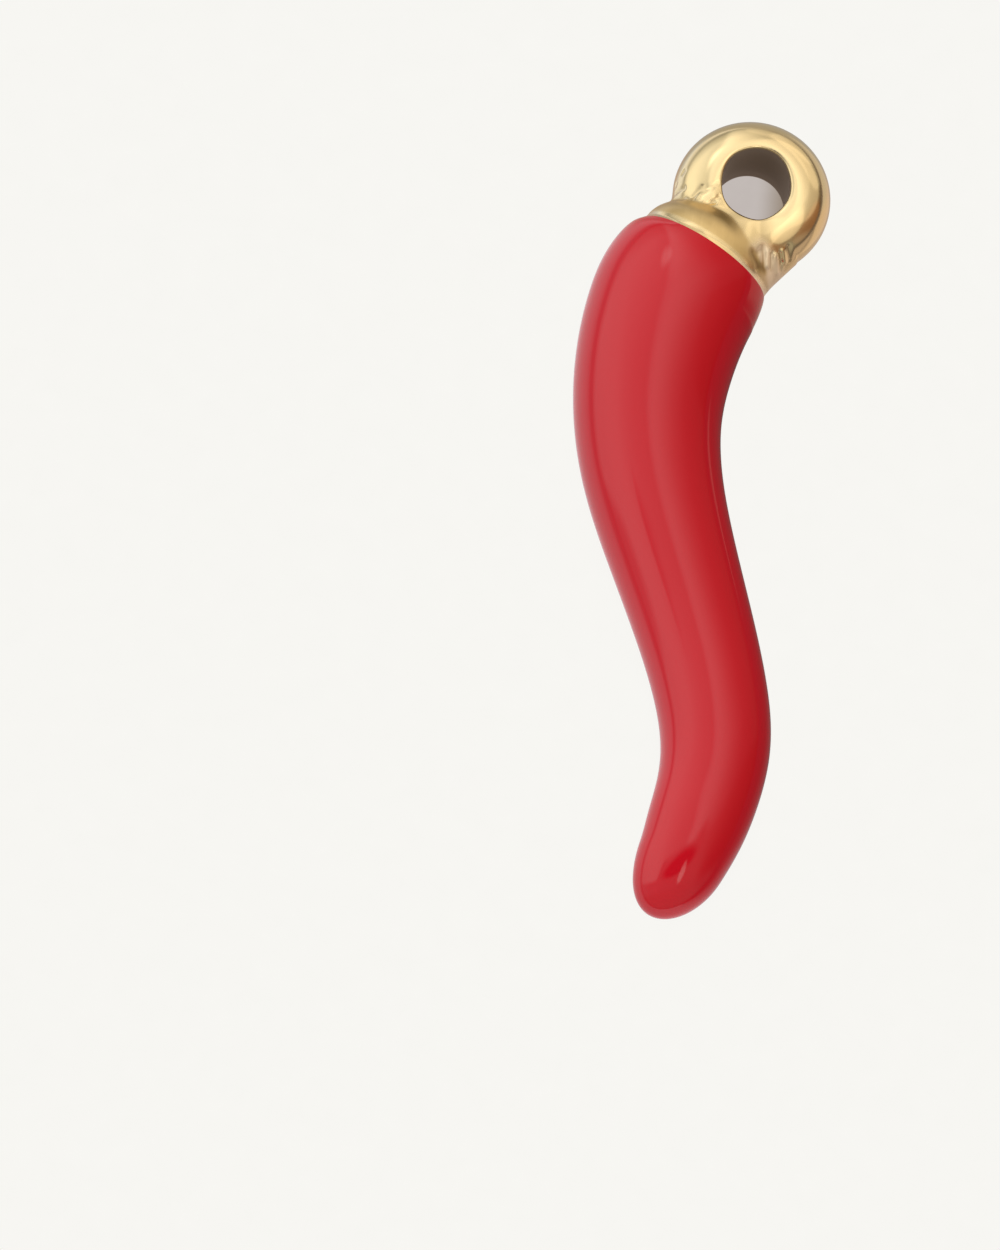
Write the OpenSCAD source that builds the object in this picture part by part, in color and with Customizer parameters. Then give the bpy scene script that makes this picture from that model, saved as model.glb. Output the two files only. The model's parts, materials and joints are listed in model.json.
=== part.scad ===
// Enamelled pepper charm, lying on a flat surface. Millimetres, +Z up, resting on z = 0.
// The charm is drawn first with the centre of its ring at the origin, the ring's hole along Z
// and the pepper hanging towards -Y. The last step tips it the few degrees that it leans
// when it lies by itself, and centres it.

/* [Ring] */
// Outside diameter of the hanging ring
ring_outer_d = 3.6; // [3.2:0.1:4]
// Diameter of the hole through the ring
ring_hole_d = 1.64; // [1.4:0.02:1.8]
// Thickness of the ring along its hole
ring_thick = 1.7; // [1.5:0.05:1.8]

/* [Pepper] */
// Thickness of the pepper as a share of its width
flatness = 0.9; // [0.8:0.05:1]
// Height of the metal dome above the edge of the enamel
cap_h = 1.0; // [0.8:0.05:1.2]
// Length of the pepper's rounded tip
tip_h = 1.25; // [1.05:0.05:1.4]

/* [Enamel] */
// Thickness of the enamel coat
enamel_t = 0.3; // [0.2:0.05:0.4]
// How far the enamel stands proud of the metal dome
enamel_proud = 0.02; // [0.01:0.01:0.1]
// Clearance between the enamel and the metal under it
enamel_gap = 0.02; // [0.01:0.01:0.04]

/* [Weld] */
// Radius of each drop of the seam at the belly side of the ring
weld_r = 0.26; // [0.2:0.01:0.3]
// Radius of each drop of the flatter seam at the back
weld_back_r = 0.15; // [0.12:0.01:0.2]
// Number of drops in each seam
weld_drops = 5; // [3:1:7]
// Angle around the ring's section that each seam covers
weld_sweep = 70; // [40:5:80]

/* [Lying] */
// Angle by which the tip lies lower than the ring
lie_pitch = 2.84; // [0:0.01:6]
// Angle by which the charm leans on its belly
lie_roll = 1.74; // [0:0.01:4]

/* [Hidden] */

// Columns of the table of sections
ALONG = 0; // place of the section along -Y
SIDE = 1;  // place of its centre along X
WIDTH = 2; // width across the pepper

// Sections of the pepper from the edge of the enamel into the rounded tip
SECTIONS = [
    // along, side, width
    [1.50, -0.90, 3.20],
    [1.76, -1.03, 3.50],
    [2.30, -1.33, 3.78],
    [3.00, -1.57, 3.76],
    [4.20, -1.77, 3.60],
    [5.60, -1.77, 3.37],
    [7.00, -1.49, 3.16],
    [8.50, -0.95, 2.93],
    [10.10, -0.29, 2.73],
    [11.70, 0.30, 2.59],
    [13.10, 0.59, 2.49],
    [14.20, 0.53, 2.36],
    [15.10, 0.34, 2.25],
    [16.00, 0.07, 2.03],
    [17.00, -0.37, 1.88]
];
LAST = len(SECTIONS) - 1;
TIP_ROW = LAST - 1; // the tip's rounding starts here, 1 mm before the last row

// Directions from the ring's centre to the two notches between ring and dome
WELD_BELLY = -69.5;
WELD_BACK = -167.6;

SIDES = 40;      // sides of every ring of the loft
OUTER_STEPS = 4; // rings of the outer skin from one section to the next
INNER_STEPS = 2; // rings of the core and of the enamel's inside
CAP_STEPS = 7;   // rings of the dome and of the rounded tip
LIP_STEPS = 3;   // rings of the enamel's rounded edge
LIP_START = 0.08; // rows of the table between the metal's ledge and the enamel's edge
LIP_REACH = 0.24; // rows of the table that the edge's rounding takes

// Section i, carried on in a straight line past both ends of the table
function section(i) =
    i < 0 ? 2 * SECTIONS[0] - SECTIONS[1] :
    i > LAST ? 2 * SECTIONS[LAST] - SECTIONS[LAST - 1] :
    SECTIONS[i];

// Smooth curve through b and c, with its direction taken from a and d
function blend(a, b, c, d, t) =
    b + 0.5 * t * ((c - a) + t * ((2 * a - 5 * b + 4 * c - d) + t * (3 * b - a - 3 * c + d)));

// The section at u, which counts the rows of the table and may lie between two of them
function at(u) =
    let (i = min(floor(u), LAST - 1))
    blend(section(i - 1), section(i), section(i + 1), section(i + 2), u - i);

// Direction of the centreline at u, towards the tip
function heading(u) =
    let (step = 0.01, a = at(max(u - step, 0)), b = at(u + step))
    let (d = [b[SIDE] - a[SIDE], a[ALONG] - b[ALONG]])
    d / norm(d);

// One oval ring of the loft: its centre, its heading, and its half sizes across and through
function oval(centre, dir, across, through) =
    [for (k = [0 : SIDES - 1])
        let (a = 360 * k / SIDES)
        [centre[0] - dir[1] * across * cos(a), centre[1] + dir[0] * across * cos(a), through * sin(a)]];

function centre_at(u) = let (s = at(u)) [s[SIDE], -s[ALONG]];

// Ring at u, with the surface moved in by inset
function body_ring(u, inset) =
    let (half = at(u)[WIDTH] / 2)
    oval(centre_at(u), heading(u), half - inset, half * flatness - inset);

// Rings of the body from row first to the row where the tip's rounding starts
function body_rings(first, steps, inset) =
    [for (i = [first * steps : TIP_ROW * steps]) body_ring(i / steps, inset)];

// Rings of the rounded tip, on a quarter of an ellipse
function tip_rings(inset) =
    [for (k = [1 : CAP_STEPS - 1])
        let (a = 90 * k / CAP_STEPS, u = TIP_ROW + (tip_h - inset) * sin(a), half = at(u)[WIDTH] / 2)
        oval(centre_at(u), heading(u), (half - inset) * cos(a), (half * flatness - inset) * cos(a))];

function tip_pole(inset) = let (p = centre_at(TIP_ROW + tip_h - inset)) [p[0], p[1], 0];

// Rings of the dome, from its top down to the edge of the enamel
function dome_rings(inset) =
    [for (k = [CAP_STEPS - 1 : -1 : 1])
        let (a = 90 * k / CAP_STEPS, half = at(0)[WIDTH] / 2, dir = heading(0))
        oval(centre_at(0) - dir * cap_h * sin(a), dir,
             (half - inset) * cos(a), (half * flatness - inset) * cos(a))];

function dome_pole() = let (p = centre_at(0) - heading(0) * cap_h) [p[0], p[1], 0];

// The enamel's edge is rounded: from its thickness at row 0 the skin swells out to full size
function lip_rings() =
    [for (k = [0 : LIP_STEPS - 1])
        let (a = 90 * k / LIP_STEPS)
        body_ring(LIP_REACH * (1 - cos(a)) + LIP_START, enamel_t * 0.5 * (1 - sin(a)))];

function reversed(list) = [for (i = [len(list) - 1 : -1 : 0]) list[i]];

// Closed skin over rings of equal count, with a pole before the first and after the last
module skin(pole_a, rings, pole_b) {
    n = len(rings);
    points = concat([pole_a], [for (r = rings, p = r) p], [pole_b]);
    last = len(points) - 1;
    function id(i, k) = 1 + i * SIDES + (k % SIDES);
    faces = concat(
        [for (k = [0 : SIDES - 1]) [0, id(0, k), id(0, k + 1)]],
        [for (i = [0 : n - 2], k = [0 : SIDES - 1], half = [0, 1])
            half == 0 ? [id(i, k), id(i + 1, k), id(i + 1, k + 1)]
                      : [id(i, k), id(i + 1, k + 1), id(i, k + 1)]],
        [for (k = [0 : SIDES - 1]) [last, id(n - 1, k + 1), id(n - 1, k)]]);
    polyhedron(points = points, faces = faces, convexity = 6);
}

// Metal under the enamel, with the bare dome above the ledge that the enamel ends at
module dome_and_core() {
    core = enamel_t + enamel_gap;
    skin(dome_pole(),
         concat(dome_rings(enamel_proud), [body_ring(0, enamel_proud)], body_rings(0, INNER_STEPS, core),
                tip_rings(core)),
         tip_pole(core));
}

// Round ring with a straight hole
module ring_blank() {
    rotate_extrude($fn = 96)
        translate([(ring_outer_d - ring_thick) / 2, 0])
            circle(d = ring_thick, $fn = 64);
}

// Row of weld drops across the outside of the ring, in the direction side
module weld_seam(side, r) {
    reach = ring_thick / 2 + r / 3 - 0.12;
    for (k = [0 : weld_drops - 1])
        let (a = weld_sweep * (k / (weld_drops - 1) - 0.5))
            rotate([0, 0, side])
                translate([(ring_outer_d - ring_thick) / 2 + reach * cos(a), 0, reach * sin(a)])
                    sphere(r = r, $fn = 32);
}

module ring_and_core() {
    color([0.86, 0.70, 0.40])
        lie_down()
            difference() {
                union() {
                    ring_blank();
                    dome_and_core();
                    weld_seam(WELD_BELLY, weld_r);
                    weld_seam(WELD_BACK, weld_back_r);
                }
                cylinder(d = ring_hole_d, h = 4 * ring_thick, center = true, $fn = 64);
            }
}

module enamel_coat() {
    color([0.72, 0.10, 0.13])
        lie_down()
            skin(tip_pole(enamel_t),
                 concat(reversed(tip_rings(enamel_t)),
                        reversed(body_rings(0.5, INNER_STEPS, enamel_t)),
                        [body_ring(LIP_START, enamel_t)],
                        lip_rings(),
                        body_rings(0.5, OUTER_STEPS, 0),
                        tip_rings(0)),
                 tip_pole(0));
}

// Rotation of a point as lie_down makes it: pitch about X, then roll about Y
function tipped(p) =
    let (y = p[1] * cos(lie_pitch) - p[2] * sin(lie_pitch), z = p[1] * sin(lie_pitch) + p[2] * cos(lie_pitch))
    [p[0] * cos(lie_roll) + z * sin(lie_roll), y, z * cos(lie_roll) - p[0] * sin(lie_roll)];

// Reach of the tipped ring from its own centre along X, Y or Z
hole_axis = tipped([0, 0, 1]);
function ring_reach(k) =
    (ring_outer_d - ring_thick) / 2 * sqrt(1 - hole_axis[k] * hole_axis[k]) + ring_thick / 2;

OUTER_POINTS = [for (r = concat(body_rings(0, OUTER_STEPS, 0), tip_rings(0)), p = r) tipped(p)];
function lowest(k) = min(-ring_reach(k), min([for (p = OUTER_POINTS) p[k]]));
function highest(k) = max(ring_reach(k), max([for (p = OUTER_POINTS) p[k]]));
SHIFT = [-(lowest(0) + highest(0)) / 2, -(lowest(1) + highest(1)) / 2, -lowest(2)];

// Tips the charm as it lies, and puts the middle of its footprint at the origin
module lie_down() {
    translate(SHIFT)
        rotate([lie_pitch, lie_roll, 0])
            children();
}

ring_and_core();
enamel_coat();
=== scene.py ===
import json

import bpy
import numpy as np
from mathutils import Matrix, Vector


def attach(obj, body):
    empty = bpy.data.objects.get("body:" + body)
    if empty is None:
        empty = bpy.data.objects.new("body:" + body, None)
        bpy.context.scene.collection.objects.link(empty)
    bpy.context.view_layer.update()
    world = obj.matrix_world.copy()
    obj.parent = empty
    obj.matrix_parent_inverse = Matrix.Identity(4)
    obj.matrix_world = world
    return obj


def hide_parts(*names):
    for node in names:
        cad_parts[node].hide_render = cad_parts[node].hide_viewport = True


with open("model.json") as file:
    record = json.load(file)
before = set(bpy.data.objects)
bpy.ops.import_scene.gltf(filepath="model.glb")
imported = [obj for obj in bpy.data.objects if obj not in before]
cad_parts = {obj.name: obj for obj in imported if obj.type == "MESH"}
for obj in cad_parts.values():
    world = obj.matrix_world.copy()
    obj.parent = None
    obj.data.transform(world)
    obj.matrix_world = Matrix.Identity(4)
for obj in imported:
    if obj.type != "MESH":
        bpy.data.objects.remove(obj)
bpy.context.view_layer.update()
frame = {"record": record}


# How the charm lies. It is drawn in millimetres with the centre of its ring at the origin, the
# ring's hole along Z and the pepper towards -Y. The hole's place and direction in the frame say
# how it is then tipped and carried to where the part lies.
MM = 0.001
HOLE = frame["record"]["mounts"][0]
RING_CENTRE = np.array(HOLE["pos_m"])
HOLE_AXIS = np.array(HOLE["axis"])


def turn(angle, axis):
    """Rotation by angle about X, Y or Z, as a 3 by 3 array."""
    return np.array(Matrix.Rotation(angle, 3, axis))


PITCH = -np.arcsin(HOLE_AXIS[1])
ROLL = np.arctan2(HOLE_AXIS[0], HOLE_AXIS[2])
LIE = turn(ROLL, "Y") @ turn(PITCH, "X")


def laid(points):
    """Points of the charm's own drawing, tipped, scaled to metres and moved to the ring's centre."""
    return points @ LIE.T * MM + RING_CENTRE


# The camera looks down at the table from beyond the pepper's tip, turned a little about its own
# axis. Its long lens keeps both ends of the charm at one scale.
VIEW_AZIMUTH = -3.72      # degrees
VIEW_ELEVATION = 68.77
VIEW_ROLL = 10.47
RING_FROM_CENTRE = np.array([5.714, 9.684]) * MM   # the ring's place in the picture, from its middle
PICTURE_HEIGHT = 28.41 * MM
CAMERA_DISTANCE = 0.6
SENSOR = 36.0             # long side of the film, in mm

TO_PICTURE = (turn(np.radians(VIEW_AZIMUTH), "Z") @ turn(np.radians(90 - VIEW_ELEVATION), "X")
              @ turn(np.radians(VIEW_ROLL), "Z"))
RIGHT, UP, BACK = TO_PICTURE.T
middle = RING_CENTRE - RIGHT * RING_FROM_CENTRE[0] - UP * RING_FROM_CENTRE[1]

camera_data = bpy.data.cameras.new("camera")
camera_data.sensor_width = SENSOR
camera_data.lens = SENSOR * CAMERA_DISTANCE / PICTURE_HEIGHT
camera_data.clip_start = 0.01
camera_data.clip_end = 5.0
camera = bpy.data.objects.new("camera", camera_data)
camera.matrix_world = Matrix.Translation(middle + BACK * CAMERA_DISTANCE) @ Matrix(TO_PICTURE).to_4x4()
bpy.context.scene.collection.objects.link(camera)
bpy.context.scene.camera = camera


# The studio. Two soft boxes hang over the table, square to the camera: the large one at the left
# reaches down to the table's edge, the narrow one stands right of the middle and fades to a dim,
# brown right side. The camera on its arm shows dark between them, with a small lamp beside it.
class Value:
    """A socket of a node tree. Sums, differences and products of it add Math nodes, and a number
    may stand on either side."""

    def __init__(self, tree, socket):
        self.tree, self.socket = tree, socket

    def __add__(self, other):
        return self.tree.math("ADD", self, other)

    def __sub__(self, other):
        return self.tree.math("SUBTRACT", self, other)

    def __rsub__(self, other):
        return self.tree.math("SUBTRACT", other, self)

    def __mul__(self, other):
        return self.tree.math("MULTIPLY", self, other)

    __radd__ = __add__
    __rmul__ = __mul__


class Tree:
    """The node tree of a material or a world."""

    def __init__(self, owner):
        owner.use_nodes = True
        self.nodes = owner.node_tree.nodes
        self.links = owner.node_tree.links
        self.nodes.clear()

    def node(self, kind, settings, inputs, output=0):
        """Adds a node: its settings first, then the values or links of its inputs. Returns one output."""
        made = self.nodes.new(kind)
        for name, value in settings.items():
            setattr(made, name, value)
        for name, value in inputs.items():
            if isinstance(value, Value):
                self.links.new(value.socket, made.inputs[name])
            else:
                made.inputs[name].default_value = value
        return Value(self, made.outputs[output]) if made.outputs else made

    def math(self, operation, a, b=0.0):
        return self.node("ShaderNodeMath", {"operation": operation}, {0: a, 1: b})

    def dot(self, a, b):
        return self.node("ShaderNodeVectorMath", {"operation": "DOT_PRODUCT"}, {0: a, 1: b}, 1)

    def step(self, value, low, high):
        """0 below low, 1 above high and a smooth rise between; with low above high it falls."""
        return self.node("ShaderNodeMapRange", {"interpolation_type": "SMOOTHSTEP"},
                         {"Value": value, "From Min": low, "From Max": high})

    def ramp(self, value, stops):
        """Colour that runs through the stops, each a place from -1 to 1 and a colour."""
        made = self.nodes.new("ShaderNodeValToRGB")
        for i, (place, shade) in enumerate(stops):
            stop = made.color_ramp.elements[i] if i < 2 else made.color_ramp.elements.new(1.0)
            stop.position, stop.color = (place + 1) / 2, (*shade, 1.0)
        self.links.new((value * 0.5 + 0.5).socket, made.inputs["Fac"])
        return Value(self, made.outputs["Color"])

    def mix(self, factor, a, b):
        """Colour a where factor is 0 and colour b where it is 1."""
        return self.node("ShaderNodeMix", {"data_type": "RGBA"}, {0: factor, 6: a, 7: b}, 2)


world = bpy.data.worlds.new("studio")
bpy.context.scene.world = world
sky = Tree(world)
direction = sky.node("ShaderNodeTexCoord", {}, {}, "Generated")
across, up, back = (sky.dot(direction, tuple(v)) for v in (RIGHT, UP, BACK))
north, height = sky.dot(direction, (0.0, 1.0, 0.0)), sky.dot(direction, (0.0, 0.0, 1.0))

# Brightness of the boxes from the far left of the picture, -1, to its far right, 1
BOXES = (
    (-1.00, (0.92, 0.92, 0.90)), (-0.85, (1.07, 1.06, 1.03)), (-0.70, (1.06, 1.05, 1.02)),
    (-0.50, (0.85, 0.84, 0.82)), (-0.30, (0.72, 0.71, 0.69)), (-0.02, (0.64, 0.63, 0.61)),
    (0.03, (0.74, 0.73, 0.71)), (0.07, (0.90, 0.89, 0.87)), (0.16, (1.02, 1.00, 0.97)),
    (0.26, (0.97, 0.94, 0.90)), (0.38, (0.83, 0.80, 0.76)), (0.60, (0.53, 0.49, 0.45)),
    (0.80, (0.30, 0.26, 0.22)), (1.00, (0.20, 0.15, 0.11)),
)
# The same below the boxes, where the room shows
BELOW = (
    (-1.0, (0.52, 0.52, 0.52)), (-0.8, (0.44, 0.44, 0.44)), (-0.1, (0.38, 0.38, 0.37)),
    (0.10, (0.41, 0.40, 0.38)), (0.30, (0.41, 0.39, 0.36)), (0.60, (0.42, 0.38, 0.34)),
    (0.80, (0.29, 0.22, 0.17)), (1.0, (0.17, 0.10, 0.06)),
)
LOW_DOWN = (0.37, 0.35, 0.32, 1.0)   # the room further down, on all sides
BOX_FOOT = 0.31           # how far up the picture's direction the boxes start
LEFT_REACH = 0.27         # how much further down the large box comes
RIGHT_REACH = 0.10        # and the right end of the narrow one
LEAN_FROM = 0.45          # above this height the narrow box leans to the left,
LEAN = 0.7                # by this much for each unit of height

lean = sky.math("MAXIMUM", up - LEAN_FROM, 0.0) * sky.step(across, -0.5, 0.0)
boxes = sky.ramp(across + lean * LEAN, BOXES)
foot = BOX_FOOT - sky.step(across, -0.50, -0.62) * LEFT_REACH - sky.step(across, 0.40, 0.60) * RIGHT_REACH
below = sky.mix(sky.step(up, -0.22, -0.42), sky.ramp(across, BELOW), LOW_DOWN)
light = sky.mix(sky.step(up - foot, -0.06, 0.05), below, boxes)
facing = sky.step(back, 0.0, 0.2)


def spot(middle, half, soft=0.3):
    """1 in an oval of half sizes half round middle, both given across and up, and 0 outside it: a
    step of the distance from middle, counted in half sizes, that takes soft on either side of 1."""
    a = (across - middle[0]) * (1 / half[0])
    b = (up - middle[1]) * (1 / half[1])
    far = sky.math("SQRT", a * a + b * b)
    return sky.step(far, 1.0 + soft, 1.0 - soft) * facing


# What darkens the studio: the camera's arm, a corner, the wall behind and the strip above the table
arm = spot((0.00, 0.10), (0.42, 0.15))
corner = spot((0.90, -0.34), (0.20, 0.28), 0.6)
far_wall = sky.step(north, 0.30, 0.80) * sky.step(height, 0.45, -0.05)
skyline = sky.step(height, 0.14, -0.02)
strength = (1.0 - arm * 0.90) * (1.0 - corner * 0.35) * (1.0 - far_wall * 0.45) * (1.0 - skyline * 0.40)

# What shines in it: the lamp beside the camera, a smaller one high up and the glow round that
lamp = spot((0.19, -0.09), (0.075, 0.16))
high_lamp = spot((-0.20, 0.80), (0.07, 0.07), 0.6)
glow = spot((-0.22, 0.84), (0.36, 0.24), 0.6)
strength = strength + lamp * 3.0 + high_lamp * 1.2 + glow * 0.20

# The colour under the gloss takes more from the studio than the gloss shows of it, though less from
# the far left, from the glow and from the upper left
on_matt = sky.node("ShaderNodeLightPath", {}, {}, "Is Diffuse Ray")
far_left = sky.step(across, -0.45, -0.90)
upper_left = sky.step(across, 0.0, -0.5) * sky.step(up, 0.3, 0.8)
more = 0.35 - far_left * 0.44 - glow * 0.40 - upper_left * 0.40
strength = strength * (1.0 + on_matt * more)
sky.node("ShaderNodeOutputWorld", {}, {"Surface": sky.node(
    "ShaderNodeBackground", {}, {"Color": light, "Strength": strength})})

bpy.context.scene.view_settings.view_transform = "Standard"


# The table, a pale card that glows by itself and takes no shadow. The camera sees it even, with the
# ring's shade painted where the hole shows it. The charm reflects other tones of it, all painted: a
# painted gleam as if under the left light, and painted shade to the right of the charm and behind it.
TABLE_SIZE = 0.5


def mesh_of(name, points, faces, rounded=True):
    """A mesh object from an array of points in metres and a list of faces, shaded smooth if rounded."""
    mesh = bpy.data.meshes.new(name)
    mesh.from_pydata(points, [], faces)
    if rounded:
        mesh.shade_smooth()
    made = bpy.data.objects.new(name, mesh)
    bpy.context.scene.collection.objects.link(made)
    return made


corners = np.array([[-1, -1, 0], [1, -1, 0], [1, 1, 0], [-1, 1, 0]]) * TABLE_SIZE / 2
table = mesh_of("table", corners, [[0, 1, 2, 3]], rounded=False)


def colour(red, green, blue):
    """A colour given in the usual 0 to 255 steps of a screen, as the linear values a shader takes."""
    c = np.array([red, green, blue]) / 255
    return (*np.where(c <= 0.04045, c / 12.92, ((c + 0.055) / 1.055) ** 2.4), 1.0)


# As the camera sees it: the card, the shade painted in the ring's hole and a little by the charm
CARD_TONES = (colour(246, 245, 241), colour(248, 247, 243))
HOLE_TONES = (colour(189, 180, 176), colour(199, 191, 186))
HOLE_TONE_RIGHT = colour(150, 135, 118)
HOLE_SHADE_AT = RING_CENTRE[:2] + np.array([0.03, 0.62]) * MM
HOLE_SHADE_FULL = 0.95 * MM
HOLE_SHADE_END = 1.65 * MM
CLOSE_BY = 1.2 * MM
CLOSE_TONE = (0.30, 0.26, 0.25, 1.0)
CLOSE_SHARE = 0.10

table_finish = bpy.data.materials.new("pale_table")
card = Tree(table_finish)
coords = card.node("ShaderNodeTexCoord", {}, {}, "Object")
east = card.node("ShaderNodeSeparateXYZ", {}, {"Vector": coords}, "X")
northward = card.node("ShaderNodeSeparateXYZ", {}, {"Vector": coords}, "Y")
grain = card.node("ShaderNodeTexNoise", {}, {"Vector": coords, "Scale": 1500.0, "Detail": 3.0})
# The painted shade in the ring's hole turns darker and browner towards its right
hole_right = card.step(east - RING_CENTRE[0], 0.1 * MM, 1.0 * MM)
hole_tone = card.mix(hole_right, card.mix(grain, *HOLE_TONES), HOLE_TONE_RIGHT)
from_hole = card.node("ShaderNodeVectorMath", {"operation": "DISTANCE"}, {
    0: coords, 1: (*HOLE_SHADE_AT, 0.0)}, 1)
in_hole = card.step(from_hole, HOLE_SHADE_END, HOLE_SHADE_FULL)
seen_tone = card.mix(in_hole, card.mix(grain, *CARD_TONES), hole_tone)
open_sky = card.node("ShaderNodeAmbientOcclusion", {"samples": 8}, {"Distance": CLOSE_BY}, "AO")
close = (1.0 - card.step(open_sky, 0.0, 0.55)) * CLOSE_SHARE
seen_tone = card.mix(close, seen_tone, CLOSE_TONE)

# As the charm sees it, at its right: a tone that falls off into painted shade along a slanting line,
# counted in FALL_OFF, that starts beside the charm, and two patches of other painted shade
FALL_OFF = 8 * MM
SLANT = 0.6
RIGHT_TONES = ((-1.0, (0.85, 0.83, 0.84)), (-0.5, (0.80, 0.78, 0.80)), (0.0, (0.24, 0.20, 0.20)),
               (0.4, (0.12, 0.10, 0.10)))
BY_RING_TONE = (0.50, 0.40, 0.34, 1.0)
BEHIND_TONE = (0.40, 0.38, 0.36, 1.0)

right_tone = card.ramp((east + northward * SLANT) * (1 / FALL_OFF), RIGHT_TONES)
by_ring = card.step(northward - east * 0.10, 4.4 * MM, 5.6 * MM) * card.step(east, 18 * MM, 12 * MM)
right_tone = card.mix(by_ring, right_tone, BY_RING_TONE)
behind = card.step(northward, 8.5 * MM, 11 * MM) * card.step(east, 20 * MM, 10 * MM)
right_tone = card.mix(behind, right_tone, BEHIND_TONE)

# At its left: a painted gleam, bright beside the charm and darker further out, and dim to the colour under
# the gloss
LEFT_TONES = ((0.80, 0.79, 0.81, 1.0), (0.40, 0.40, 0.41, 1.0))
LEFT_TONE_ON_MATT = (0.20, 0.20, 0.21, 1.0)
MIDDLE_SHIFT = -3.8 * MM  # the line between left and right moves this far over behind the ring

left_tone = card.mix(card.step(east, -6 * MM, -24 * MM), *LEFT_TONES)
from_matt = card.node("ShaderNodeLightPath", {}, {}, "Is Diffuse Ray")
left_tone = card.mix(from_matt, left_tone, LEFT_TONE_ON_MATT)
middle_line = card.step(northward, 4 * MM, 11 * MM) * MIDDLE_SHIFT
mirrored_tone = card.mix(card.step(east - middle_line, -1.5 * MM, 1.2 * MM), left_tone, right_tone)

from_camera = card.node("ShaderNodeLightPath", {}, {}, "Is Camera Ray")
card.node("ShaderNodeOutputMaterial", {}, {"Surface": card.node("ShaderNodeEmission", {}, {
    "Color": card.mix(from_camera, mirrored_tone, seen_tone)})})
table.data.materials.append(table_finish)


# The casting: ring, dome, weld and the core under the enamel are one piece of steel. The ring was
# cast apart and welded on, which left a ribbed pad on one side and small nuggets on the other. All
# of it is plated in gold and polished, the dome less than the ring, and the hole not at all.
RING_MIDLINE = 0.95      # radius of the ring's midline
RING_WIRE = 0.85         # radius of its section
HOLE_RADIUS = 0.81
HOLE_EDGE = 0.12         # rounding of the hole's edges
DOME_CENTRE = np.array([-0.90, -1.50])
DOME_AXIS = np.array([0.447, 0.894])
DOME_HALF = np.array([1.00, 1.60, 1.44])   # along its axis, across it and through it
DOME_LIP = 0.03
COLLAR = 0.12            # height of the dome's foot, which runs into the enamel flush
COLLAR_DEEP = 0.012      # how far it lies below the enamel's skin
COLLAR_START = 0.04      # how far it reaches up into the dome
COLLAR_FILLET = 0.08     # width of the fillet between dome and foot
TONGUE = 0.05            # the end of the foot, which goes on under the enamel's lip
RING_TO_DOME = 0.40      # width of the fillet between ring and dome
BELLY_FILLET = 0.60      # how much wider it is towards the pad

# The pepper, from the edge of the enamel to the tip
PEPPER = np.array([
    # place along it, place of its centre across it, width
    (1.50, -0.90, 3.20),
    (1.76, -1.03, 3.50),
    (2.30, -1.33, 3.77),
    (3.00, -1.57, 3.76),
    (4.20, -1.77, 3.60),
    (5.60, -1.77, 3.37),
    (7.00, -1.49, 3.16),
    (8.50, -0.95, 2.93),
    (10.10, -0.29, 2.73),
    (11.70, 0.30, 2.59),
    (13.10, 0.59, 2.49),
    (14.20, 0.53, 2.36),
    (15.10, 0.34, 2.25),
    (16.00, 0.07, 2.03),
    (17.00, -0.37, 1.88),
])
FLATNESS = 0.9
TIP_START = 15.94        # from here the tip rounds off
TIP_END = 17.24
TOP_START = 15.62        # the enamel's upper side rounds off a little sooner
EDGE_AT = PEPPER[0, 0]   # the enamel ends here, against the dome
MIDLINE_START = EDGE_AT - 0.5   # its midline is followed from a little above that
CORE_INSET = 0.42        # the core lies this deep under the enamel's skin
CORE_TOP = 0.30          # how far the core goes on inside the dome
CORE_LEAST = 0.02        # half its width at its very end
PEPPER_BELOW = -0.6      # the dome's foot and the core lie below this, along Y


def spline(rows, column):
    """Natural cubic spline through one column of the table: its bends are the ones that keep the
    slope unbroken at every row, with none at the two ends. Returns the curve and its slope."""
    x, y = rows[:, 0], rows[:, column]
    h = np.diff(x)
    system = np.eye(len(x))
    inner = np.arange(1, len(x) - 1)
    system[inner, inner - 1] = h[:-1]
    system[inner, inner] = 2 * (h[:-1] + h[1:])
    system[inner, inner + 1] = h[1:]
    steps = np.diff(y) / h
    bend = np.linalg.solve(system, np.concatenate([[0], 6 * np.diff(steps), [0]]))

    def curve(s):
        i = np.clip(np.searchsorted(x, s) - 1, 0, len(h) - 1)
        a, b = x[i + 1] - s, s - x[i]
        value = ((bend[i] * a ** 3 + bend[i + 1] * b ** 3) / (6 * h[i])
                 + (y[i] / h[i] - bend[i] * h[i] / 6) * a + (y[i + 1] / h[i] - bend[i + 1] * h[i] / 6) * b)
        slope = ((bend[i + 1] * b ** 2 - bend[i] * a ** 2) / (2 * h[i])
                 + steps[i] - (bend[i + 1] - bend[i]) * h[i] / 6)
        return value, slope

    return curve


pepper_centre = spline(PEPPER, 1)
pepper_width = spline(PEPPER, 2)


def half_width(s, inset=0.0, start=TIP_START):
    """Half the pepper's width at s, less inset. From start to the tip a quarter of an ellipse
    closes it."""
    over = np.clip((s - start) / (TIP_END - inset - start), 0, 1)
    return (pepper_width(s)[0] / 2 - inset) * np.sqrt(1 - over ** 2)


def across_pepper(x, y):
    """Place along the midline, from the plane square to it that passes through the point, and
    the point's distance from the midline in that plane."""
    s = np.clip(-y, MIDLINE_START, TIP_END)
    for _ in range(3):
        centre, slope = pepper_centre(s)
        s = s + ((x - centre) * slope - (y + s)) / (1 + slope ** 2)
        s = np.clip(s, MIDLINE_START, TIP_END)
    centre, slope = pepper_centre(s)
    return s, ((x - centre) + (-s - y) * -slope) / np.sqrt(1 + slope ** 2)


def smooth(x, low, high):
    """0 below low, 1 above high, and a smooth rise between."""
    t = np.clip((x - low) / (high - low), 0, 1)
    return t * t * (3 - 2 * t)


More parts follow.
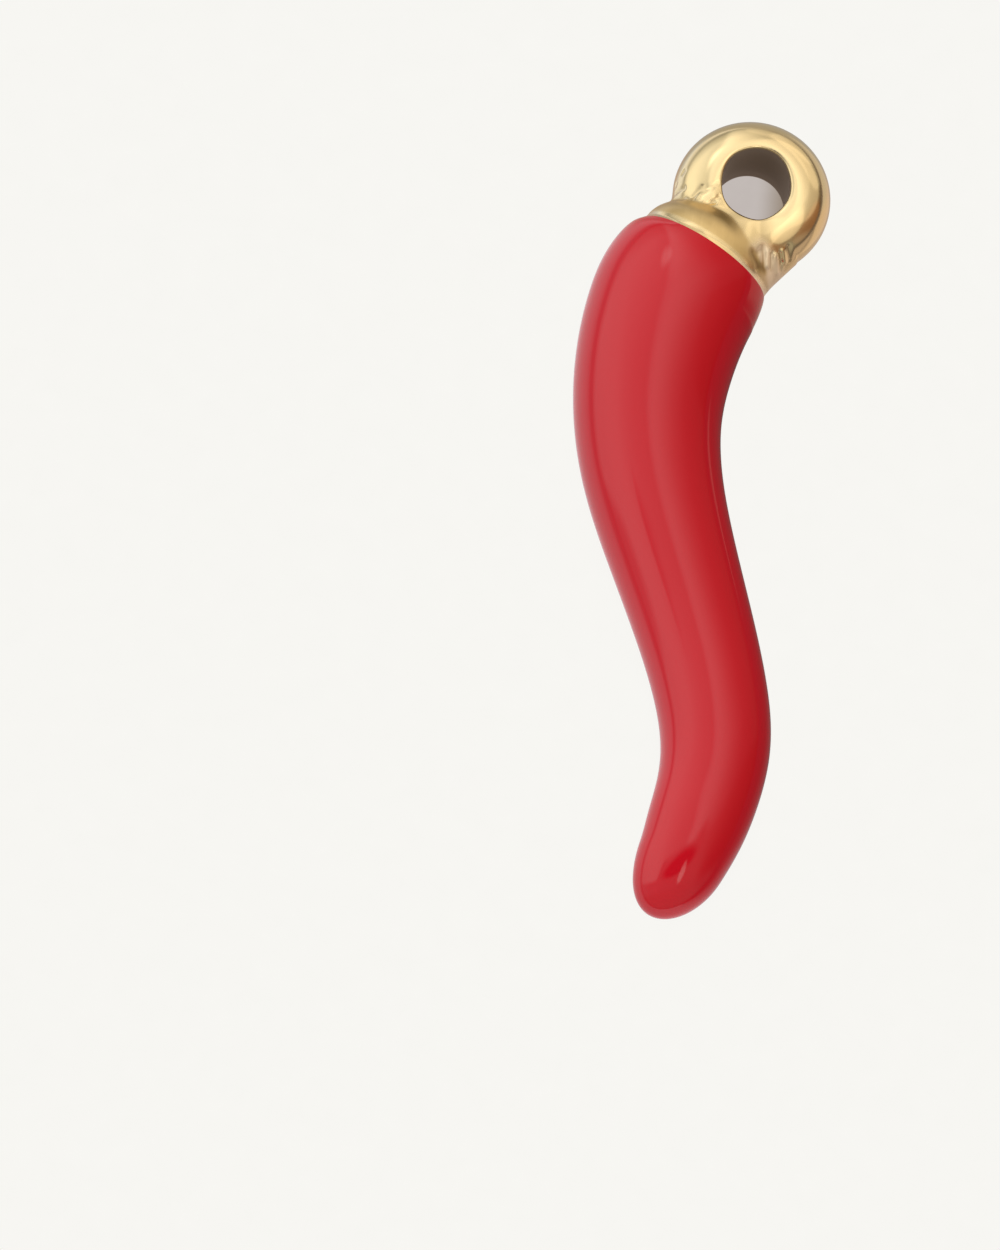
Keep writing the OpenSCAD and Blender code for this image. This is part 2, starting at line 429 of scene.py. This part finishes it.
def fillet_union(a, b, width):
    """The smaller of two distances, with a cubic fillet about width wide where they cross."""
    return np.minimum(a, b) - np.maximum(width - np.abs(a - b), 0) ** 3 / (6 * width ** 2)


def fillet_cut(a, b, width):
    """The larger of two distances, with its edge rounded over about width."""
    return -fillet_union(-a, -b, width)


def bump(x, middle, half):
    """A soft bell of height 1 and half width half."""
    return np.exp(-((x - middle) / half) ** 2)


def tube(aside, z, half):
    """Distance to a tube of oval section, near its surface: half is half its width, and FLATNESS
    of that is half its height."""
    return (np.hypot(aside / half, z / (half * FLATNESS)) - 1) * half * FLATNESS


def oval(a, b, c, half):
    """Distance to an ellipsoid of half sizes half, near its surface."""
    near = np.sqrt((a / half[0]) ** 2 + (b / half[1]) ** 2 + (c / half[2]) ** 2)
    steep = np.sqrt((a / half[0] ** 2) ** 2 + (b / half[1] ** 2) ** 2 + (c / half[2] ** 2) ** 2)
    return near * (near - 1) / np.maximum(steep, 1e-6)


def on_dome(x, y):
    """Place along the dome's axis, positive towards its top, and place across it."""
    dx = x - DOME_CENTRE[0]
    dy = y - DOME_CENTRE[1]
    return dx * DOME_AXIS[0] + dy * DOME_AXIS[1], dx * DOME_AXIS[1] - dy * DOME_AXIS[0]


# The weld pad at the belly side, a block with a round back between the ring and the dome
PAD_OUT = np.array([0.780, -0.626])     # direction out of it
PAD_ALONG = np.array([0.626, 0.780])    # and along it, away from the pepper
PAD_REACH = 0.855        # how far it stands out from the ring's midline
PAD_DEPTH = 0.72         # half its thickness
PAD_SPAN = (-1.45, -0.30)
PAD_END = 0.10           # rounding of its two ends
PAD_FILLET = 0.06


def on_pad(x, y):
    """Place out of the pad, from the middle of the ring, and place along it."""
    return x * PAD_OUT[0] + y * PAD_OUT[1], x * PAD_ALONG[0] + y * PAD_ALONG[1]


# Marks of the weld, from one point to another: half width, and height or, below 0, depth. The
# plating and the polish have spread them a little and taken off some of their height.
MARK_SPREAD = 1.08
MARK_HEIGHT = 0.85
MARK_REACH = 0.2         # they are worked out only this close to the surface
WELD = (
    # x, y, z of the start    x, y, z of the end     half   height
    ((0.12, -1.66, 1.08), (0.30, -1.91, 0.90), 0.080, -0.060),    # grooves and ribs of the pad
    ((0.30, -1.91, 0.90), (0.45, -1.92, 0.72), 0.080, -0.050),
    ((0.23, -1.59, 0.99), (0.33, -1.44, 0.91), 0.060, -0.030),
    ((0.36, -1.50, 0.88), (0.41, -1.86, 0.79), 0.060, -0.045),
    ((0.45, -1.50, 0.82), (0.50, -1.78, 0.71), 0.060, 0.045),
    ((0.55, -1.52, 0.72), (0.57, -1.80, 0.59), 0.055, -0.045),
    ((0.65, -1.52, 0.65), (0.74, -1.78, 0.36), 0.070, 0.045),
    ((0.75, -1.41, 0.62), (0.81, -1.58, 0.45), 0.045, -0.035),
    ((0.81, -1.58, 0.45), (0.82, -1.72, 0.32), 0.045, -0.030),
    ((0.79, -1.36, 0.62), (0.89, -1.55, 0.40), 0.050, 0.035),
    ((0.92, -1.24, 0.62), (1.00, -1.46, 0.36), 0.060, -0.025),
    ((-1.16, -0.38, 0.82), (-0.95, -0.33, 0.85), 0.160, 0.035),   # the nugget at the back and its creases
    ((-1.19, -0.15, 0.81), (-1.36, -0.41, 0.73), 0.060, -0.028),
    ((-0.78, -0.34, 0.85), (-0.90, -0.50, 0.86), 0.055, -0.030),
    ((-0.90, -0.50, 0.86), (-1.06, -0.58, 0.88), 0.055, -0.026),
    ((-0.84, -0.05, 0.84), (-1.16, -0.25, 0.82), 0.070, -0.018),
    ((-1.66, 0.20, 0.45), (-1.62, 0.28, 0.49), 0.045, -0.025),    # pits and a notch at the far left
    ((-1.73, -0.20, 0.33), (-1.59, -0.15, 0.55), 0.050, -0.026),
    ((-1.78, -0.40, 0.39), (-1.60, -0.45, 0.64), 0.060, -0.045),
    ((-1.76, -0.02, 0.26), (-1.75, 0.02, 0.28), 0.040, -0.018),
)


def weld_relief(p):
    """Height that the marks add at each point: a bell round each one's nearest place."""
    height = np.zeros(len(p))
    for start, end, half, rise in WELD:
        start, run = np.array(start), np.subtract(end, start)
        share = np.clip((p - start) @ run / (run @ run), 0, 1)
        far = np.linalg.norm(p - start - share[:, None] * run, axis=1)
        height += rise * MARK_HEIGHT * bump(far, 0, half * MARK_SPREAD)
    return height


def bore_radius(angle, z):
    """The hole: round at its foot, filed wider towards the back at its top, with a few flats there.
    The top's radius is a sum of waves round the hole, and the foot's turns into it smoothly."""
    top = (0.815 + 0.02 * np.cos(angle) + 0.095 * np.sin(angle) - 0.04 * np.cos(2 * angle)
           + 0.01 * np.cos(5 * angle + 0.6))
    return HOLE_RADIUS + (top - HOLE_RADIUS) * smooth(z, -0.5, 0.6)


def casting_field(x, y, z):
    """Distance to the casting, negative inside: the smallest of the distances to ring, dome, weld
    pad, the dome's foot and the core, with fillets where they meet, less the weld's marks and the
    hole."""
    from_hole = np.hypot(x, y)
    ring = np.hypot(from_hole - RING_MIDLINE, z) - RING_WIRE
    along, beside = on_dome(x, y)
    dome = fillet_cut(oval(along, beside, z, DOME_HALF), -along - DOME_LIP, DOME_LIP)
    body = fillet_union(ring, dome, RING_TO_DOME + BELLY_FILLET * smooth(x, -0.7, 0.1))

    out, down_pad = on_pad(x, y)
    pad = (np.hypot((out - RING_MIDLINE) / PAD_REACH, z / PAD_DEPTH) - 1) * PAD_DEPTH
    pad = fillet_cut(pad, np.maximum(PAD_SPAN[0] - down_pad, down_pad - PAD_SPAN[1]), PAD_END)
    pad = fillet_cut(pad, -along, DOME_LIP)
    body = fillet_union(body, pad, PAD_FILLET)
    near = np.abs(body) < MARK_REACH
    body[near] -= weld_relief(np.stack([x[near], y[near], z[near]], -1))

    low = y < PEPPER_BELOW
    s, aside = across_pepper(x[low], y[low])
    collar = tube(aside, z[low], half_width(s) - COLLAR_DEEP)
    collar = np.maximum(collar, np.maximum(EDGE_AT - COLLAR_START - s, s - EDGE_AT - COLLAR - TONGUE))
    core = tube(aside, z[low], np.maximum(half_width(s, CORE_INSET), CORE_LEAST))
    core = np.maximum(core, -y[low] - (TIP_END - CORE_INSET))
    core = np.maximum(core, along[low] - CORE_TOP)
    body[low] = np.minimum(fillet_union(body[low], collar, COLLAR_FILLET), core)
    return fillet_cut(body, bore_radius(np.arctan2(y, x), z) - from_hole, HOLE_EDGE)


def gradient(field, p, step=1e-4):
    """Slope of the field at each point, from its change over a short step either way."""
    steps = np.eye(3) * step
    return np.stack([(field(*(p + e).T) - field(*(p - e).T)) / (2 * step) for e in steps], -1)


def skin_of(field, axes):
    """Closed mesh where field is zero. Every cell of the grid that the surface crosses gets one
    point, the mean of its crossings with the cell's edges, and every grid edge that it crosses
    gets a face through the four cells round it."""
    value = field(*np.meshgrid(*axes, indexing="ij"))
    cells = np.array(value.shape) - 1
    total, count, faces = np.zeros((cells.prod(), 3)), np.zeros(cells.prod()), []
    for a in range(3):
        ahead = np.eye(3, dtype=int)[a]
        low = value[tuple(slice(0, -1) if i == a else slice(1, -1) for i in range(3))]
        high = value[tuple(slice(1, None) if i == a else slice(1, -1) for i in range(3))]
        start = np.argwhere((low < 0) != (high < 0)) + 1 - ahead
        v0, v1 = value[tuple(start.T)], value[tuple((start + ahead).T)]
        share = v0 / (v0 - v1)
        point = np.stack([axes[i][start[:, i]] for i in range(3)], -1)
        point[:, a] += share * (axes[a][start[:, a] + 1] - point[:, a])
        b, c = np.eye(3, dtype=int)[(a + 1) % 3], np.eye(3, dtype=int)[(a + 2) % 3]
        around = np.stack([np.ravel_multi_index((start - i * b - j * c).T, cells)
                           for i, j in ((0, 0), (1, 0), (1, 1), (0, 1))], -1)
        faces.append(np.where((v0 < 0)[:, None], around, around[:, ::-1]))
        for cell in around.T:
            count += np.bincount(cell, minlength=len(count))
            for i in range(3):
                total[:, i] += np.bincount(cell, point[:, i], minlength=len(count))
    used = count > 0
    number = np.cumsum(used) - 1
    points = total[used] / count[used, None]
    for _ in range(3):
        g = gradient(field, points)
        points -= g * (field(*points.T) / np.maximum((g ** 2).sum(1), 0.05))[:, None]
    return points, number[np.concatenate(faces)]


GRID = 0.035
GRID_CORE = 0.12         # the core is hidden, so its cells are longer
CORE_FROM = -2.6         # from here down
casting_axes = [
    np.arange(-3.4, 2.1, GRID),
    np.concatenate([np.arange(-17.3, CORE_FROM, GRID_CORE), np.arange(CORE_FROM, 1.95, GRID)]),
    np.arange(-1.62, 1.66, GRID),
]
points, faces = skin_of(casting_field, casting_axes)
casting = mesh_of("ring_and_core", laid(points), faces.tolist())
normals = gradient(casting_field, points)
normals /= np.linalg.norm(normals, axis=1)[:, None]
casting.data.normals_split_custom_set_from_vertices(normals @ LIE.T)


def mark(piece, name, values):
    """Keeps a number for each point of a piece, for its material to read."""
    piece.data.attributes.new(name, "FLOAT", "POINT").data.foreach_set("value", values.astype(np.float32))


# Where the steel is bare, in the hole, whose colour is also painted dark with the shade in it; where
# the dome is satin; the matt skin of the weld pad, painted pale; and how deep a mark of the weld is,
# and whether there is one
x, y, z = points.T
mark(casting, "bare", 1 - smooth(np.hypot(x, y) - bore_radius(np.arctan2(y, x), z), -0.005, 0.025))
along, beside = on_dome(x, y)
off_dome = oval(along, beside, z, DOME_HALF)
mark(casting, "satin", (1 - smooth(off_dome, 0.02, 0.07)) * smooth(along, 0.0, 0.08))
out, down_pad = on_pad(x, y)
mark(casting, "pad", smooth(out, 0.8, 1.2) * smooth(-down_pad, 0.62, 0.9) * smooth(off_dome, 0.0, 0.06))
relief = weld_relief(points)
mark(casting, "seam", np.clip(-relief / 0.06, 0, 1))
mark(casting, "weld", smooth(np.abs(relief), 0.0, 0.015))

BRUSHED_AT = -0.46        # direction of the satin's fine scratches, as an angle
gold = bpy.data.materials.new("gold_plating")
plate = Tree(gold)
coords = plate.node("ShaderNodeTexCoord", {}, {}, "Object")
bare, satin, pad, seam, weld = (
    plate.node("ShaderNodeAttribute", {"attribute_name": name}, {}, "Fac")
    for name in ("bare", "satin", "pad", "seam", "weld"))
cloud = plate.node("ShaderNodeTexNoise", {}, {"Vector": coords, "Scale": 900.0, "Detail": 4.0})
brush_space = plate.node("ShaderNodeMapping", {}, {
    "Vector": coords, "Rotation": (0.0, 0.0, BRUSHED_AT), "Scale": (9000.0, 900.0, 3000.0)})
brush = plate.node("ShaderNodeTexNoise", {}, {"Vector": brush_space, "Scale": 1.0, "Detail": 3.0})
shine = plate.mix(cloud, (0.97, 0.745, 0.375, 1.0), (1.0, 0.805, 0.44, 1.0))
# The satin dome's gold: a darker tint than the ring's, partly its satin finish and partly painted shade
# for the dimmer light it faces
dull_and_shaded = plate.mix(brush, (0.71, 0.505, 0.215, 1.0), (0.82, 0.595, 0.265, 1.0))
# The hole's bare steel, painted much darker than steel is, for the shade in the hole
steel_and_shade = plate.mix(cloud, (0.110, 0.072, 0.054, 1.0), (0.145, 0.098, 0.074, 1.0))
# The weld pad's matt skin is painted pale: partly its own tone, partly a painted sheen for the bright
# table it reflects
PAD_TONE_AND_SHEEN = (1.0, 0.80, 0.57, 1.0)
# The weld's grooves are darker, the more so the deeper they are
SEAM_TONE = (0.30, 0.20, 0.09, 1.0)
tint = plate.mix(bare, plate.mix(satin, shine, dull_and_shaded), steel_and_shade)
tint = plate.mix(pad * 0.8, tint, PAD_TONE_AND_SHEEN)
tint = plate.mix(seam * 0.6, tint, SEAM_TONE)
rough = 0.13 + cloud * 0.06 + satin * 0.22 + bare * 0.35 + weld * 0.08 + pad * 0.22
relief = plate.node("ShaderNodeBump", {}, {
    "Strength": 0.25, "Distance": 0.004 * MM, "Height": cloud * 0.5 + brush * satin + cloud * weld})
plate.node("ShaderNodeOutputMaterial", {}, {"Surface": plate.node("ShaderNodeBsdfPrincipled", {}, {
    "Base Color": tint, "Metallic": 1.0 - bare - pad * 0.55, "Roughness": rough, "Normal": relief,
    "Coat Weight": (1.0 - bare) * (0.7 - satin * 0.4), "Coat Roughness": 0.06})})
casting.data.materials.append(gold)
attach(casting, "root")
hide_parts("ring_and_core")


# The lamps for the gold alone. Six broad soft ones stand in front of the charm, at its right and
# behind it. Three flat ones lie just above the card and shine up at the ring's flanks. The enamel
# gets no light from them, and the camera doesn't see them.
gold_alone = bpy.data.collections.new("gold_alone")
gold_alone.objects.link(casting)


def lamp_for_gold(name, kind, tint):
    """A lamp of the given kind and colour that lights the casting alone."""
    made = bpy.data.objects.new(name, bpy.data.lights.new(name, kind))
    made.data.color = tint
    made.light_linking.receiver_collection = gold_alone
    bpy.context.scene.collection.objects.link(made)
    return made


GOLD_LIGHTS = (
    # right, above, towards camera; width in degrees; brightness; colour
    ((0.42, -0.06, 0.91), 60, 0.42, (1.0, 0.93, 0.82)),    # the room in front
    ((0.70, 0.56, 0.44), 68, 0.28, (1.0, 0.93, 0.82)),     # and at the right
    ((0.66, 0.72, -0.05), 52, 0.27, (1.0, 0.93, 0.82)),    # its far end, down to the table
    ((0.42, 0.85, -0.25), 50, 0.18, (1.0, 0.93, 0.82)),
    ((0.45, 0.70, 0.52), 42, 0.14, (1.0, 0.96, 0.88)),     # more of the bright box
    ((0.96, -0.15, 0.20), 44, 0.12, (1.0, 0.44, 0.22)),    # warm light on the flank
)
for i, (towards, width, brightness, tint) in enumerate(GOLD_LIGHTS):
    made = lamp_for_gold(f"gold_light_{i}", "SUN", tint)
    made.data.angle = np.radians(width)
    made.data.energy = brightness * np.pi * np.sin(made.data.angle / 2) ** 2
    made.rotation_euler = Vector(TO_PICTURE @ towards).to_track_quat("Z", "Y").to_euler()

CARD_LIGHTS = (
    # east, north; size that way, all in mm; brightness; colour
    ((11.0, 8.5), (14.0, 19.0), 0.16, (1.0, 0.82, 0.71)),
    ((9.5, 1.8), (11.0, 6.4), 0.20, (1.0, 0.78, 0.68)),
    ((-7.75, 7.5), (10.5, 13.0), 0.18, (0.25, 0.50, 1.0)),
)
ABOVE_CARD = 0.05 * MM
for i, (place, size, brightness, tint) in enumerate(CARD_LIGHTS):
    made = lamp_for_gold(f"card_light_{i}", "AREA", tint)
    made.data.shape = "RECTANGLE"
    made.data.size = size[0] * MM
    made.data.size_y = size[1] * MM
    made.data.energy = brightness * np.pi * made.data.size * made.data.size_y
    made.location = (place[0] * MM, place[1] * MM, ABOVE_CARD)
    made.rotation_euler = (np.pi, 0, 0)
    made.visible_camera = False


# The enamel: a coat of opaque red, 0.3 mm thick, poured over the core and polished glossy. Its
# edge is drawn down to the gold rim of the dome.
ENAMEL_THICK = 0.3
ENAMEL_GAP = 0.005       # clearance between its edge and the dome's foot
LIP_HIGH = 0.006         # how far its edge is drawn down,
LIP_LONG = 0.03          # over this length
LIP_THICK = 0.010        # the lip over the end of the dome's foot
AROUND = 120             # points round each ring


def enamel_rings(s, wide, deep, high):
    """Rings of points round the pepper at each s, square to its midline. Each is an oval: wide is
    half its width, deep the half of its height below the middle and high the half above."""
    centre, slope = pepper_centre(s)
    size = np.sqrt(1 + slope ** 2)
    turn_round = np.linspace(0, 2 * np.pi, AROUND, endpoint=False)
    x = centre[:, None] + (wide / size)[:, None] * np.cos(turn_round)
    y = -s[:, None] + (wide * slope / size)[:, None] * np.cos(turn_round)
    z = np.where(np.sin(turn_round) > 0, high[:, None], deep[:, None]) * np.sin(turn_round)
    return np.stack([x, y, z], -1)


def skin_rings(s, inset):
    """Rings of the enamel's outer skin, moved in by inset."""
    half = half_width(s)
    upper = half_width(s, 0.0, TOP_START)
    return enamel_rings(s, half - inset, half * FLATNESS - inset, upper * FLATNESS - inset)


def tip_steps(end, count):
    """Places along the rounded tip, from its start to end, closer together towards the end: the
    sine of even steps of a quarter turn."""
    return TIP_START + (end - TIP_START) * np.sin(np.linspace(0, np.pi / 2, count))[1:-1]


def tip_point(end):
    """The point of the midline at end."""
    return np.array([pepper_centre(np.array([end]))[0][0], -end, 0])


def loft(rings, start, end):
    """Closed mesh over rings of equal count, with a point before the first and after the last:
    rows of four-cornered faces from ring to ring, and a fan of triangles at either end."""
    n, m = rings.shape[:2]
    points = np.concatenate([[start], rings.reshape(-1, 3), [end]])
    i, k = np.meshgrid(np.arange(n - 1), np.arange(m), indexing="ij")
    k2 = (k + 1) % m
    quads = np.stack([1 + i * m + k, 1 + i * m + k2, 1 + (i + 1) * m + k2, 1 + (i + 1) * m + k], -1)
    ring = np.arange(m)
    after = (ring + 1) % m
    first = np.stack([np.zeros(m, int), 1 + after, 1 + ring], -1)
    last = np.stack([np.full(m, n * m + 1), 1 + (n - 1) * m + ring, 1 + (n - 1) * m + after], -1)
    return points, quads.reshape(-1, 4).tolist() + first.tolist() + last.tolist()


edge = EDGE_AT + COLLAR + ENAMEL_GAP
rise = np.linspace(0, np.pi / 2, 10)
lip_s = edge + LIP_LONG * (1 - np.cos(rise))
body_s = np.linspace(edge + LIP_LONG, TIP_START, 230)[1:]
outer_s = np.concatenate([lip_s, body_s, tip_steps(TIP_END, 36)])
outer_inset = np.zeros(len(outer_s))
outer_inset[:len(rise)] = LIP_HIGH * (1 - np.sin(rise))

seat = edge + TONGUE + ENAMEL_GAP
inner_end = TIP_END - ENAMEL_THICK
inner_s = np.concatenate([np.linspace(seat, TIP_START, 100), tip_steps(inner_end, 16)])
inner_half = half_width(inner_s, ENAMEL_THICK)
inner = enamel_rings(inner_s, inner_half, inner_half * FLATNESS, inner_half * FLATNESS)
rings = np.concatenate([inner[::-1], skin_rings(np.array([seat, edge]), LIP_THICK),
                        skin_rings(outer_s, outer_inset)])
points, faces = loft(rings, tip_point(inner_end), tip_point(TIP_END))
enamel = mesh_of("enamel_coat", laid(points), faces)

red = bpy.data.materials.new("red_enamel")
coat = Tree(red)
coords = coat.node("ShaderNodeTexCoord", {}, {}, "Object")
cloud = coat.node("ShaderNodeTexNoise", {}, {"Vector": coords, "Scale": 350.0, "Detail": 3.0})
ripple = coat.node("ShaderNodeTexNoise", {}, {"Vector": coords, "Scale": 700.0, "Detail": 1.0})
shade = coat.mix(cloud, (0.84, 0.0060, 0.0205, 1.0), (0.87, 0.0080, 0.0235, 1.0))
relief = coat.node("ShaderNodeBump", {}, {"Strength": 0.3, "Distance": 0.012 * MM, "Height": ripple})
coat.node("ShaderNodeOutputMaterial", {}, {"Surface": coat.node("ShaderNodeBsdfPrincipled", {}, {
    "Base Color": shade, "Roughness": 0.05, "IOR": 1.6, "Normal": relief})})
enamel.data.materials.append(red)
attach(enamel, "root")
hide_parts("enamel_coat")
